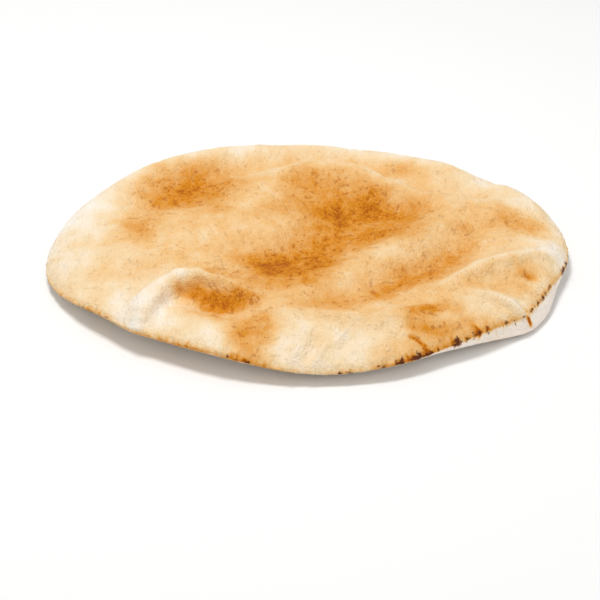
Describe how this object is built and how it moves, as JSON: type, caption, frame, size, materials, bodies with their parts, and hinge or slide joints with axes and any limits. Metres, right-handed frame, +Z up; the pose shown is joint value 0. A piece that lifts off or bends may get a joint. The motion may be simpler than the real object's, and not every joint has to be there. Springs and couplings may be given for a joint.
{
  "type": "pita bread",
  "caption": "Round flat pocket bread, a low solid pillow with soft ridges and hollows, a seam round its edge and a flat underside.",
  "frame": {"origin": "on the table under the middle of the bread's outline", "axes": "+Z up through the thickness, -Y towards the front edge, +X to the right seen from the front"},
  "size_m": [0.198, 0.1992, 0.0183],
  "materials": {
    "baked_crust": "matte baked flour crust"
  },
  "bodies": {
    "root": {"pita": "baked_crust"}
  },
  "joints": []
}
